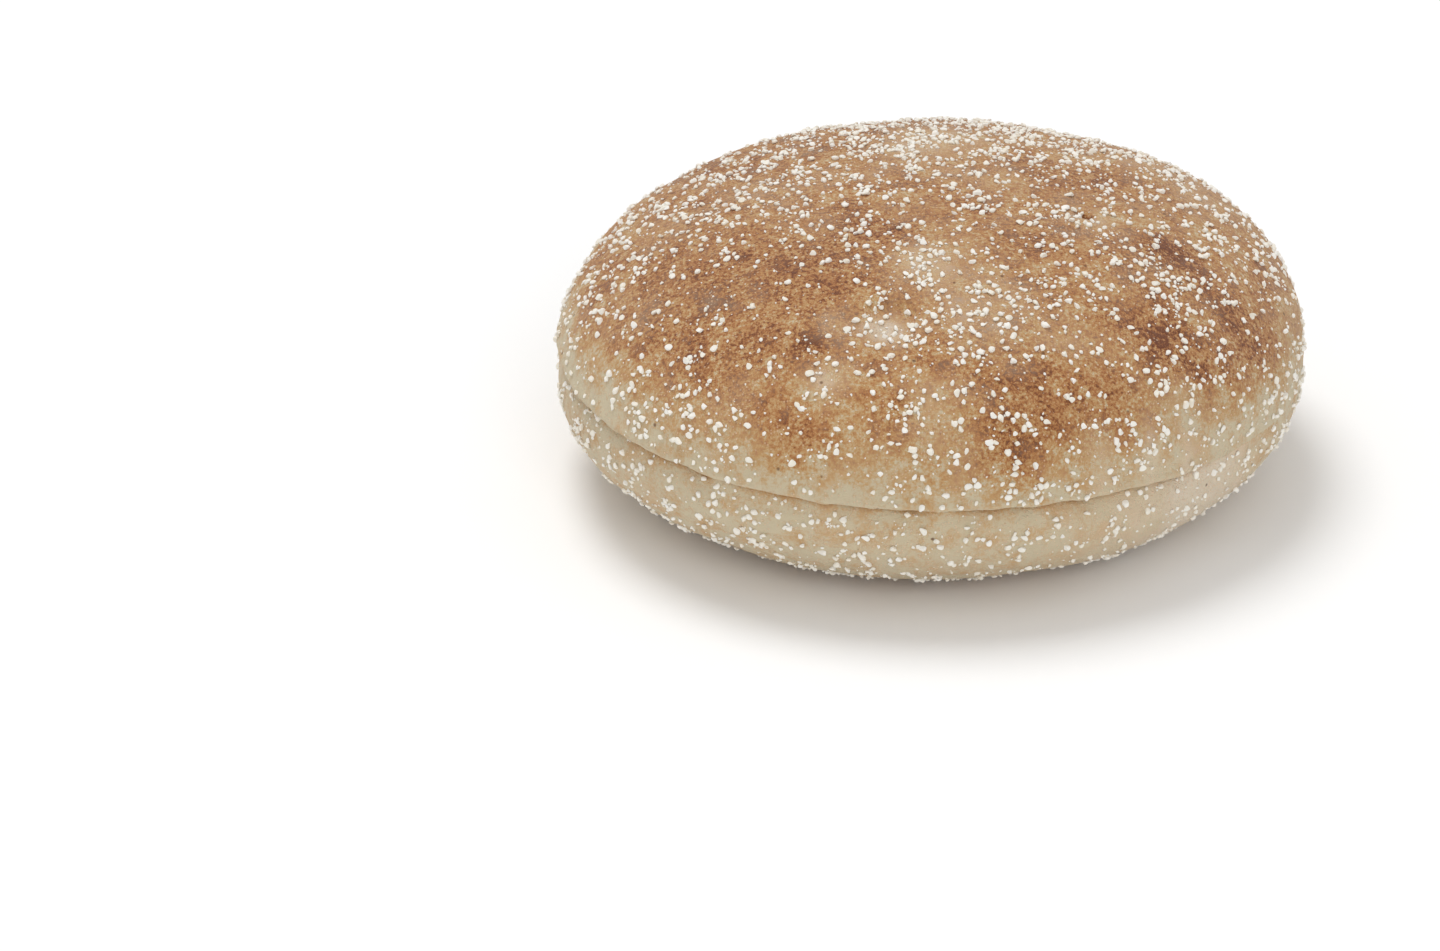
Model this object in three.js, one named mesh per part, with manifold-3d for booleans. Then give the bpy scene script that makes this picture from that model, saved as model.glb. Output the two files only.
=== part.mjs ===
// A hinge-cut burger bun: one piece of bread, sliced from one side almost to the other.
// Millimetres, +Z up. The origin is the centre of the base that the bun rests on.
// -Y is the front. The knife came in from the -X side and left a hinge of bread near +X.
import * as THREE from "three";
import { mergeVertices } from "three/addons/utils/BufferGeometryUtils.js";
import Module from "manifold-3d";

// The loaf
const DIAMETER = 115; // across the widest level, on average
const HEIGHT = 46.8; // base to the top of the crown
const WIDEST_HEIGHT = 19; // base to the widest level
const BASE_DIAMETER = 56; // the flat patch that lay on the baking tray
const CROWN_FULLNESS = 2.4; // superellipse exponent: 2 is an ellipse, more is boxier
const HEEL_FULLNESS = 2.25;

// How it rose unevenly
const OVAL = 2; // how far the long radius passes the mean radius
const OVAL_AZIMUTH = 40; // degrees from +X towards +Y, as every azimuth here
const LOBES = 3;
const LOBE_HEIGHT = 0.4;
const LOBE_AZIMUTH = 110;
// Soft swells and hollows of the crown: where they are, how wide, and how high (or deep)
const SWELLS = [
  { radius: 12, azimuth: 110, width: 17, height: 0.7 },
  { radius: 34, azimuth: 60, width: 13, height: -0.6 },
  { radius: 40, azimuth: 100, width: 12, height: -0.6 },
  { radius: 42, azimuth: 20, width: 12, height: 1 },
  { radius: 34, azimuth: 205, width: 14, height: 0.6 },
  { radius: 41, azimuth: 260, width: 7, height: -0.8 },
  { radius: 36, azimuth: 330, width: 13, height: 0.5 },
];

// The knife cut
const CUT_HEIGHT = 20.7; // base to the middle of the cut, on the bun's axis
const CUT_GAP = 0.5; // the slot that the blade left
const CUT_RISE = 1.3; // how much higher the cut is, one radius behind the axis
const CUT_DROP = 2.6; // how much lower it is, one radius to the right
const HINGE_WIDTH = 20; // bread left uncut, in from the outside
const HINGE_AZIMUTH = 10;

// How finely the surface is faceted
const SEGMENTS = 72;
const CROWN_STEPS = 17;
const HEEL_STEPS = 11;
const CURVE_SAMPLES = 240; // points that a profile curve is measured with before it is spaced out

const RADIUS = DIAMETER / 2;
const BASE_RADIUS = BASE_DIAMETER / 2;
const OUTSIDE = 10; // how far the blade's box reaches past the bread
const CRUST_COLOUR = 0xb98a58;

const wasm = await Module();
wasm.setup();

const radians = THREE.MathUtils.degToRad;

// A quarter superellipse from its end on the r axis to its end on the z axis, in equal steps.
function quarterCurve(innerRadius, levelZ, endZ, fullness, steps) {
  const points = [];
  for (let i = 0; i <= CURVE_SAMPLES; i++) {
    const angle = ((i / CURVE_SAMPLES) * Math.PI) / 2;
    const out = Math.cos(angle) ** (2 / fullness);
    const along = Math.sin(angle) ** (2 / fullness);
    points.push(
      new THREE.Vector2(
        innerRadius + (RADIUS - innerRadius) * (i < CURVE_SAMPLES ? out : 0),
        THREE.MathUtils.lerp(levelZ, endZ, along),
      ),
    );
  }
  return new THREE.SplineCurve(points).getSpacedPoints(steps);
}

// The bun's half section, from the middle of the base out to the widest level and up to the top.
function halfSection() {
  const crown = quarterCurve(0, WIDEST_HEIGHT, HEIGHT, CROWN_FULLNESS, CROWN_STEPS);
  const heel = quarterCurve(BASE_RADIUS, WIDEST_HEIGHT, 0, HEEL_FULLNESS, HEEL_STEPS);
  const base = new THREE.Vector2(0, 0);
  return [base, ...heel.reverse(), ...crown.slice(1)];
}

// How far the crown stands above (or below) its even curve at x, y.
function crownSwell(x, y) {
  return SWELLS.reduce((sum, swell) => {
    const dx = x - swell.radius * Math.cos(radians(swell.azimuth));
    const dy = y - swell.radius * Math.sin(radians(swell.azimuth));
    return sum + swell.height * Math.exp(-(dx * dx + dy * dy) / swell.width ** 2);
  }, 0);
}

// Moves one point of the even body to where the dough really rose. The flat base stays as it is.
function rise(point) {
  const azimuth = Math.atan2(point.y, point.x);
  const risen = THREE.MathUtils.smoothstep(point.z, 0, WIDEST_HEIGHT);
  const crown = THREE.MathUtils.smoothstep(point.z, WIDEST_HEIGHT, HEIGHT);
  const oval = OVAL * Math.cos(2 * (azimuth - radians(OVAL_AZIMUTH)));
  const lobes = LOBE_HEIGHT * Math.cos(LOBES * (azimuth - radians(LOBE_AZIMUTH)));
  const stretch = 1 + (risen * (oval + lobes)) / RADIUS;
  point.z += crown * crownSwell(point.x, point.y);
  point.x *= stretch;
  point.y *= stretch;
  return point;
}

function loafGeometry() {
  const geometry = new THREE.LatheGeometry(halfSection(), SEGMENTS);
  geometry.rotateX(Math.PI / 2);
  const position = geometry.getAttribute("position");
  const point = new THREE.Vector3();
  for (let i = 0; i < position.count; i++) {
    rise(point.fromBufferAttribute(position, i));
    position.setXYZ(i, point.x, point.y, point.z);
  }
  geometry.computeBoundingBox();
  const centre = geometry.boundingBox.getCenter(new THREE.Vector3());
  return geometry.translate(-centre.x, -centre.y, 0);
}

// The space that the blade swept: a thin box that stops short of the hinge.
function bladeGeometry() {
  const length = DIAMETER + 2 * OUTSIDE;
  const blade = new THREE.BoxGeometry(length, length, CUT_GAP);
  blade.translate(RADIUS - HINGE_WIDTH - length / 2, 0, 0);
  blade.rotateZ(radians(HINGE_AZIMUTH));
  blade.rotateX(Math.atan2(CUT_RISE, RADIUS));
  blade.rotateY(Math.atan2(CUT_DROP, RADIUS));
  return blade.translate(0, 0, CUT_HEIGHT);
}

function solidOf(geometry) {
  const bare = geometry.clone();
  bare.deleteAttribute("normal");
  bare.deleteAttribute("uv");
  const merged = mergeVertices(bare, 1e-4);
  return new wasm.Manifold(
    new wasm.Mesh({
      numProp: 3,
      vertProperties: merged.getAttribute("position").array,
      triVerts: new Uint32Array(merged.index.array),
    }),
  );
}

function geometryOf(solid) {
  const mesh = solid.getMesh();
  const geometry = new THREE.BufferGeometry();
  geometry.setAttribute("position", new THREE.BufferAttribute(mesh.vertProperties, 3));
  geometry.setIndex(new THREE.BufferAttribute(mesh.triVerts, 1));
  geometry.computeVertexNormals();
  return geometry;
}

function makeBread() {
  const cut = solidOf(loafGeometry()).subtract(solidOf(bladeGeometry()));
  const crust = new THREE.MeshStandardMaterial({
    color: CRUST_COLOUR,
    roughness: 0.85,
    metalness: 0,
  });
  const bread = new THREE.Mesh(geometryOf(cut), crust);
  bread.name = "bread";
  return bread;
}

const bun = new THREE.Group();
bun.add(makeBread());

export default bun;
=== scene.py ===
"""A hinge-cut burger bun sprinkled with cracked grain, on a plain pale studio floor.

The loaf is one grid of quads that follows the same formula as its frame: columns run round the
bun, and rows run from the top of the crown to the lip of the knife cut, in along one cut face,
out along the other, and down the heel to the middle of the base. Grain is scattered over it as
real meshes.
"""

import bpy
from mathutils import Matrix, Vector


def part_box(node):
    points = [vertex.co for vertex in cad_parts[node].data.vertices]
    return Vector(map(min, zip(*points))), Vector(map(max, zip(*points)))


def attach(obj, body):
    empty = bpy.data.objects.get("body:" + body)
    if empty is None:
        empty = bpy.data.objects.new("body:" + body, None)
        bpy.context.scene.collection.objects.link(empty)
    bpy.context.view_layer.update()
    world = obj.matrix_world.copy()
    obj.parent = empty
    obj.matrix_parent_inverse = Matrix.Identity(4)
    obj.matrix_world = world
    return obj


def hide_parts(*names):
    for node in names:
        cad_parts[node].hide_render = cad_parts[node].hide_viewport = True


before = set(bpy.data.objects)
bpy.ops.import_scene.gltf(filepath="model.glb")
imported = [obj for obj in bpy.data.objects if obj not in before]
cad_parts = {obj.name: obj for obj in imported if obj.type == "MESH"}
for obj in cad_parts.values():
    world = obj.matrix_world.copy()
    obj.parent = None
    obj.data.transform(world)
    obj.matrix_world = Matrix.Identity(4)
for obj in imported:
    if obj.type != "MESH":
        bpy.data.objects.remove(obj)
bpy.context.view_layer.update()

import math

import bmesh
import bpy
import numpy as np
from bpy.props import FloatProperty, FloatVectorProperty, IntProperty, PointerProperty
from mathutils import Vector, noise

bl_info = {
    "name": "Burger Bun",
    "version": (1, 0, 0),
    "blender": (4, 5, 0),
    "location": "3D View > Sidebar > Bun",
    "description": "Builds a hinge-cut burger bun sprinkled with cracked grain, on a studio floor",
    "category": "Object",
}

MM = 0.001
NODE = "bread"
BODY = "root"
BREAD_NAME = "bun_bread"

# The frame's own size, in millimetres: the visual bun is made to it.
LOW, HIGH = (np.array(corner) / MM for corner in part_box(NODE))
CAD_HEIGHT = float(HIGH[2] - LOW[2])
CAD_DIAMETER = float(HIGH[0] - LOW[0] + HIGH[1] - LOW[1]) / 2
LOBES_ADD = 0.24  # how much wider the oval and the lobes make the frame than its mean circle

# Where the loaf isn't even. Every place is in plan, in millimetres from the middle of the base,
# with x to the right and y to the back: x, y, the width of a soft round mound, and how much.

# How the crown rose higher or less high, as the frame has it.
SWELLS = (
    (-4.1, 11.3, 17, 0.7),
    (17, 29.4, 13, -0.6),
    (-6.9, 39.4, 12, -0.6),
    (39.5, 14.4, 12, 1.0),
    (-30.8, -14.4, 14, 0.6),
    (-7.1, -40.4, 7, -0.8),
    (31.2, -18, 13, 0.5),
)
# Dents (or ridges) in the crown, too small for the frame. The first nine are one creased dimple,
# and the next two are a burst bubble and its rim.
DENTS = (
    (-8.0, -38.2, 3.4, 1.2),
    (-9.6, -35.0, 1.0, 0.7),
    (-7.9, -34.8, 1.0, 0.8),
    (-6.2, -35.2, 1.0, 0.8),
    (-4.7, -36.2, 1.0, 0.7),
    (-6.6, -33.0, 1.6, -0.45),
    (-7.6, -38.0, 1.0, -0.6),
    (-10.4, -38.6, 1.0, -0.5),
    (-6.2, -40.4, 1.0, -0.5),
    (22.5, -8.7, 0.9, 2.4),
    (22.2, -10.6, 1.2, -0.5),
    (29, -31, 3.0, 0.3),
    (12, 30, 3.4, 0.5),
    (-26, 22, 2.8, 0.4),
)
# Where the oven browned the crown more (or less). The entry at the burst bubble is painted shade that
# darkens its hollow.
TOASTED_AND_PIT_SHADE = (
    (35, -15.5, 4.5, 0.44),
    (32, -35, 5, 0.44),
    # painted shade: darkens the burst bubble's hollow
    (22.5, -8.7, 1.1, 1.6),
    (46, -25, 7, 0.16),
    (53, -13, 6, -0.1),
    (16, -17, 10, 0.08),
    (-9, -18, 6, 0.14),
    (11, -51, 7, 0.05),
    (-12, -50, 5, -0.14),
    (-30, -26, 14, 0.1),
    (-23, 9, 8, -0.03),
    (-19.5, -41.5, 3, 0.34),
    (31, 14, 9, -0.08),
    (-23, -55, 4, 0.5),
    (-20, -46, 5, -0.26),
    (35, -40, 4.5, -0.3),
    (-8, -38.5, 4.0, -0.3),
    (23, -9, 3.5, -0.2),
    (20, -38, 4.5, -0.16),
    (23, -46, 4, 0.1),
    (11, -56.5, 3.5, 0.5),
    (-2, -50, 5, -0.16),
    (-1, -26, 8, -0.2),
    (2, 20, 9, -0.14),
    (20, -27, 7, -0.06),
    (2, 36, 12, 0.14),
    (-34, 18, 9, 0.14),
)
# Where flour was smeared on the heel, and on the crown.
HEEL_SMEARS = (
    (38, -38, 12, 0.85),
    (20, -46, 9, 0.15),
)
SMEARS = (
    (-8, -38.2, 3.2, 0.35),
    (23, -9.5, 2.6, 0.3),
    (23, -49.5, 2.6, 0.5),
    (30.5, -46, 2.4, 0.6),
    (36.5, -42.5, 1.6, 0.4),
    (-15, -46, 4, 0.3),
    (-16.5, -38, 3.0, 0.4),
    (-19, -47, 3.0, 0.2),
    (-2, -27, 6, 0.2),
    (2, 20, 10, 0.1),
    (40, 12, 9, 0.2),
)
# Drifts where the baker's hand dropped more grain on the crown (or less).
DRIFTS = (
    (-1, 12, 16, 1.2),
    (0, 34, 18, 2.0),
    (-4, 12, 6, 1.6),
    (-27, 16, 8, 0.7),
    (-4, -26, 5, 2.6),
    (3.5, -39, 5, 2.2),
    (11, -33, 7, 1.8),
    (22, -9, 6, 1.1),
    (33, -2, 7, 0.8),
    (35, -14, 4, -0.5),
    (34, -22, 4, 1.2),
    (47, 2, 8, 0.6),
    (24, 26, 13, 0.6),
    (-38, 4, 12, 0.8),
    (-10, -38.5, 2.6, 4.0),
    (-6, -40.5, 2.6, 2.5),
    (-17.5, -47.5, 2.2, 3.0),
    (-4, -51, 2.2, 1.8),
    (10.5, -53, 3, 0.7),
    (21, -49.5, 3, 0.9),
    (14, -46, 6, -0.5),
    (34, -38.5, 4, 1.2),
    (-24, -8, 9, 0.6),
    (-21, -34, 10, -0.85),
    (-14, -52, 7, -0.5),
    (24, -41, 5, -0.3),
    (42, -27, 6, -0.4),
)


# ---------------------------------------------------------------- settings


def linear(hex_colour):
    """An sRGB hex colour as the linear red, green and blue that shaders use."""
    parts = [int(hex_colour[i : i + 2], 16) / 255 for i in (1, 3, 5)]
    return tuple(v / 12.92 if v <= 0.04045 else ((v + 0.055) / 1.055) ** 2.4 for v in parts)


def length(name, description, millimetres):
    return FloatProperty(
        name=name, description=description, default=millimetres * MM, unit="LENGTH", precision=5
    )


def colour(name, description, hex_colour):
    return FloatVectorProperty(
        name=name, description=description, default=linear(hex_colour), subtype="COLOR", size=3
    )


def angle(name, description, degrees):
    return FloatProperty(
        name=name, description=description, default=math.radians(degrees), subtype="ANGLE"
    )


class BunShape(bpy.types.PropertyGroup):
    """The loaf and its knife cut, as the frame has them."""

    diameter: length("Diameter", "Mean width at the widest level", CAD_DIAMETER - LOBES_ADD)
    height: length("Height", "Base to the top of the crown", CAD_HEIGHT)
    widest_height: length("Widest height", "Base to the widest level", 19)
    base_diameter: length("Base diameter", "The flat patch that lay on the tray", 56)
    crown_fullness: FloatProperty(
        name="Crown fullness", description="2 is an ellipse, more is boxier", default=2.4
    )
    heel_fullness: FloatProperty(
        name="Heel fullness", description="2 is an ellipse, more is boxier", default=2.25
    )
    oval: length("Oval", "How far the long radius passes the mean", 2)
    oval_azimuth: angle("Oval azimuth", "Where the long radius points", 40)
    lobe_height: length("Lobe height", "How far three soft lobes stand out", 0.4)
    lobe_azimuth: angle("Lobe azimuth", "Where the first lobe points", 110)
    cut_height: length("Cut height", "Base to the cut, on the axis", 20.7)
    cut_gap: length("Cut gap", "The slot that the blade left", 0.5)
    cut_rise: length("Cut rise", "How much higher the cut is, one radius behind the axis", 1.3)
    cut_drop: length("Cut drop", "How much lower it is, one radius to the right", 2.6)
    hinge_width: length("Hinge width", "Bread left uncut, in from the outside", 20)
    hinge_azimuth: angle("Hinge azimuth", "Where the middle of the hinge is", 10)


class BunGrits(bpy.types.PropertyGroup):
    """The cracked grain on the crust."""

    coarse_size: length("Coarse grain", "Mean width of a coarse grain", 1.02)
    fine_size: length("Fine grain", "Mean width of a fine grain", 0.5)
    coarse_density: FloatProperty(
        name="Coarse density", description="Coarse grains on each square centimetre", default=22
    )
    fine_density: FloatProperty(
        name="Fine density", description="Fine grains on each square centimetre", default=34
    )
    seed: IntProperty(name="Seed", description="Another number is another sprinkling", default=7)


class BunFinish(bpy.types.PropertyGroup):
    """The colours of crust, crumb and grain."""

    pale: colour("Pale crust", "The heel and the lip, which the oven hardly browned", "#d2c3a4")
    golden: colour("Golden crust", "The shoulder", "#c79d68")
    brown: colour("Brown crust", "Most of the crown", "#b17543")
    dark: colour("Dark crust", "The most toasted spots", "#723e20")
    crumb: colour("Crumb", "Bread inside the cut", "#d9c6a4")
    flour: colour("Flour", "Single specks of flour on the crust", "#ecccaa")
    haze: colour("Flour haze", "Flour rubbed thin into the skin", "#dac2a0")
    caked: colour("Caked flour", "Flour smeared on thick", "#e9e0d2")
    bran: colour("Bran", "Flecks of the grain's skin in the dough", "#6e4a2c")
    grain_light: colour("Light grain", "The starchy heart of the grain", "#f4f1ea")
    grain_dark: colour("Dark grain", "Grain with some of its skin", "#e6dcc6")


class BunStudio(bpy.types.PropertyGroup):
    """Camera, lights and floor."""

    elevation: angle("Elevation", "How far the camera looks down", 26.6)
    distance: length("Distance", "Camera to the point it is aimed at", 730)
    lens: FloatProperty(
        name="Lens",
        description="Focal length on a 36 mm wide sensor",
        default=123.9,
        unit="CAMERA",
    )
    aim: FloatVectorProperty(
        name="Aim",
        description="The point that the camera is aimed at, left of the bun and in front of it",
        default=(-32.7 * MM, -44.0 * MM, 19.0 * MM),
        subtype="TRANSLATION",
        size=3,
    )
    floor_size: length("Floor size", "Side of the floor", 6000)
    floor_colour: colour("Floor", "Matt white studio board", "#ffffff")
    sky: FloatProperty(name="Sky", description="Strength of the white surroundings", default=0.56)
    key_power: FloatProperty(
        name="Key", description="Power of the overhead soft box", default=20.5, unit="POWER"
    )
    fill_power: FloatProperty(
        name="Fill", description="Power of the front soft box", default=5.5, unit="POWER"
    )


# ---------------------------------------------------------------- the loaf's shape

FINER, FAINTER = 2.0, 0.9  # each octave of a cloud is twice as fine, and fainter by 2 ** 0.9
QUARTER_POINTS = 600  # points on each quarter of the half section
RIM_REACH, RIM_TRIES = 12, 240  # the cut is found in steps this far each side of the widest level
PROBE = 0.05  # millimetres between the points that a normal is worked out from


def smoothstep(value, low, high):
    """0 below low, 1 above high, and a soft rise between them."""
    t = np.clip((value - low) / (high - low), 0, 1)
    return t * t * (3 - 2 * t)


def mounds(x, y, places):
    """The sum of soft round mounds, each given by x, y, width and height, at the points x, y."""
    total = np.zeros(np.broadcast(x, y).shape)
    for place_x, place_y, width, height in places:
        total += height * np.exp(-((x - place_x) ** 2 + (y - place_y) ** 2) / width**2)
    return total


def cloud(points, width, octaves, shift):
    """Smooth noise of about -1 to 1 at each point, whose features are about that wide."""
    offset = Vector((shift, -shift, 2 * shift))
    places = np.asarray(points) / width
    return np.array([noise.fractal(Vector(p) + offset, FAINTER, FINER, octaves) for p in places])


def waves(points, kinds):
    """The sum of clouds, each given by its height, width, octaves and shift."""
    total = np.zeros(len(points))
    for height, width, octaves, shift in kinds:
        total += height * cloud(points, width, octaves, shift)
    return total


class Loaf:
    """The smooth loaf, in millimetres, by the frame's own formula.

    A half section is swept round, drawn out to an oval with three lobes and lifted by the swells.
    """

    def __init__(self, shape):
        self.radius = shape.diameter / MM / 2
        self.height = shape.height / MM
        self.widest = shape.widest_height / MM
        self.base_radius = shape.base_diameter / MM / 2
        self.oval, self.oval_azimuth = shape.oval / MM, shape.oval_azimuth
        self.lobe, self.lobe_azimuth = shape.lobe_height / MM, shape.lobe_azimuth
        self.cut_height = shape.cut_height / MM
        self.cut_rise, self.cut_drop = shape.cut_rise / MM, shape.cut_drop / MM
        self.path = self.half_section(shape)
        steps = np.hypot(*np.diff(self.path, axis=0).T)
        self.along = np.concatenate([[0], np.cumsum(steps)])
        # Like the frame, the loaf is moved to the middle of its box and stretched to its height.
        self.centre, self.stretch_up = np.zeros(3), 1.0
        all_round = np.linspace(-np.pi, np.pi, 361)[None, :]
        top_to_base = np.linspace(0, self.along[-1], 400)[:, None]
        everywhere = self.point(all_round, top_to_base)
        low, high = everywhere.min((0, 1)), everywhere.max((0, 1))
        self.centre = (low + high) / 2 * np.array([1, 1, 0])
        self.stretch_up = self.height / high[2]

    def half_section(self, shape):
        """Points r, z from the top of the crown out to the rim and in to the base's middle."""
        turn = np.linspace(0, np.pi / 2, QUARTER_POINTS)
        crown_power, heel_power = 2 / shape.crown_fullness, 2 / shape.heel_fullness
        crown_r = self.radius * np.cos(turn) ** crown_power
        crown_z = self.widest + (self.height - self.widest) * np.sin(turn) ** crown_power
        heel_r = self.base_radius + (self.radius - self.base_radius) * np.cos(turn) ** heel_power
        heel_z = self.widest * (1 - np.sin(turn) ** heel_power)
        r = np.concatenate([crown_r[::-1], heel_r[1:], [0]])
        z = np.concatenate([crown_z[::-1], heel_z[1:], [0]])
        return np.stack([r, z], -1)

    def point(self, azimuth, along):
        """The surface at an azimuth and a distance along the half section from the top."""
        r = np.interp(along, self.along, self.path[:, 0])
        z = np.interp(along, self.along, self.path[:, 1])
        r, z, azimuth = np.broadcast_arrays(r, z, azimuth)
        x, y = r * np.cos(azimuth), r * np.sin(azimuth)
        risen = smoothstep(z, 0, self.widest)
        crown = smoothstep(z, self.widest, self.height)
        oval = self.oval * np.cos(2 * (azimuth - self.oval_azimuth))
        lobe = self.lobe * np.cos(3 * (azimuth - self.lobe_azimuth))
        stretch = 1 + risen * (oval + lobe) / self.radius
        lifted = z + crown * mounds(x, y, SWELLS)
        placed = np.stack([x * stretch, y * stretch, lifted], -1) - self.centre
        return placed * np.array([1, 1, self.stretch_up])

    def normal(self, azimuth, along):
        """The outward normal of the smooth surface."""
        azimuth, along = np.broadcast_arrays(azimuth, along)
        down = self.point(azimuth, along + PROBE) - self.point(azimuth, np.abs(along - PROBE))
        turn = PROBE / self.radius
        round_it = self.point(azimuth + turn, along) - self.point(azimuth - turn, along)
        normal = np.cross(down, round_it)
        size = np.linalg.norm(normal, axis=-1, keepdims=True)
        pole = np.zeros_like(normal)
        pole[..., 2] = np.where(along < self.along[-1] / 2, 1, -1)
        return np.where(size > 1e-9, normal / np.maximum(size, 1e-9), pole)

    def cut_level(self, x, y):
        """The height of the knife's plane over x, y."""
        return self.cut_height + (self.cut_rise * y - self.cut_drop * x) / self.radius

    def along_at_cut(self, azimuth):
        """Where each column of the surface meets the knife's plane."""
        rim = np.interp(self.widest, self.path[::-1, 1], self.along[::-1])
        tries = np.linspace(rim - RIM_REACH, rim + RIM_REACH, RIM_TRIES)
        points = self.point(azimuth[None, :], tries[:, None])
        above = points[..., 2] - self.cut_level(points[..., 0], points[..., 1])
        first = np.argmax(above < 0, axis=0)
        column = np.arange(len(azimuth))
        before, after = above[first - 1, column], above[first, column]
        share = before / (before - after)
        return tries[first - 1] + share * (tries[first] - tries[first - 1])


# ---------------------------------------------------------------- the bread's mesh

COLUMNS = 400
CROWN_ROWS, HEEL_ROWS = 100, 84
LIP_STEPS = (0.0, 0.12, 0.3, 0.6, 1.0, 1.6)  # millimetres from the lip: close rows round its edge
FACE_STEPS = (0.01, 0.03, 0.08, 0.2, 0.45, 1.0)  # shares of the way from the lip to the hinge

# The knife's line. Lengths are in millimetres, and waves go by height, width, octaves and shift.
TAPER = 14.0  # over which the cut opens from its end
LINE_WAVES = ((0.3, 5.0, 2, 7.5), (0.12, 1.5, 2, 0.0))
LINE_FADE = 2.0  # how far from the line its waves still show
PARTING_WAVES = ((0.9, 9.0, 2, 5.5),)  # where the halves part more (or less) than usual
LEAST_PARTED, MOST_PARTED = 0.25, 1.7
UPPER_TUCK, LOWER_TUCK = (0.2, 0.25), (1.7, 2.4)  # how far each lip turns in, over what width
BEAD, BEAD_AT, BEAD_WIDTH = 0.4, 0.7, 0.9  # the blade pushed up a bead of crust over its line
LIP_OPENS, LIP_WIDTH = 0.7, 1.2  # how far each lip stands off, as a share of the gap, and its width

# The skin.
SKIN_WAVES = ((0.26, 22.0, 2, 0.0), (0.17, 8.0, 2, 2.5), (0.09, 2.0, 3, 4.5))
PITS = 70
PIT_WIDTHS, PIT_DEPTHS = (0.5, 1.1), (0.15, 0.5)
PIT_REACH, PIT_CROWDING = (0.05, 0.6), 0.7  # shares of the way down, by a power that lowers them
BASE_LIFT = 0.14  # the grain pressed into the base keeps the crust this far off the table
BASE_WAVES = ((0.5, 3.0, 2, 0.0),)  # shares of the base's lift

# Centre and radius, on the baked maps, of the crown, the heel and the cut's upper and lower face.
BAKE_DISCS = ((0.29, 0.71, 0.285), (0.71, 0.29, 0.285), (0.13, 0.13, 0.12), (0.87, 0.87, 0.12))

# How browned the crust is, from 0 for pale dough to 1 for nearly burnt. It also carries painted shade
# under the upper lip and in the burst bubble.
CROWN_BROWNING, HEEL_BROWNING = 0.58, 0.06
WANDER, BLOTCH = (26.0, 3, 1.5), (7.0, 4, 3.5)  # two clouds that vary it: width, octaves, shift
CROWN_WANDER, CROWN_BLOTCH, HEEL_BLOTCH = 0.08, 0.14, 0.05
UNDER_LIP_SHADE, UNDER_LIP_SHADE_WIDTH = 0.2, 0.8  # painted shade: the heel's thin upper edge is darkened where the upper lip's overhang shades it
TRAY_BROWNING, TRAY_HEIGHTS = 0.42, (0.2, 4.5)  # the hot tray toasted the base and its edge
# Up the shoulder the crust turns from pale to brown: about where over the lip, and how slowly.
SHOULDER_MIDDLE, SHOULDER_WANDER, SHOULDER_SPAN = 4.7, 3.0, (-5.0, 10.0)
# How floury it is, from 0 to 1.
CROWN_FLOUR, HEEL_FLOUR = 0.2, 0.34
FLOUR_LOST, FLOUR_IN_DRIFTS = 0.6, 0.09  # where it is toasted or painted darker in the burst bubble, and where grain drifted
FLOUR_WAVES = ((0.2, 12.0, 3, 8.5), (0.12, 3.5, 2, 0.0))
TRAY_FLOUR, TRAY_FLOUR_HEIGHTS = 0.3, (1.5, 7)  # the tray was dusted, too


def rows_from_lip(lip, end, count):
    """Where each row of each column lies on the half section, and how far from the lip."""
    near = np.array(LIP_STEPS)[:, None]
    far = np.linspace(0, 1, count - len(near) + 1)[1:, None]
    reach = np.abs(end - lip)[None, :]
    distance = np.concatenate([near + 0 * reach, near[-1] + far * (reach - near[-1])])
    return lip + np.sign(end - lip) * distance, distance


def quads(grid, closed=False):
    """The faces between the rows of a grid of vertex numbers. Repeated numbers fall out."""
    if closed:
        grid = np.hstack([grid, grid[:, :1]])
    corners = np.stack([grid[:-1, :-1], grid[1:, :-1], grid[1:, 1:], grid[:-1, 1:]], -1)
    loops = (list(dict.fromkeys(face)) for face in corners.reshape(-1, 4).tolist())
    return [face for face in loops if len(face) > 2]


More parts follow.
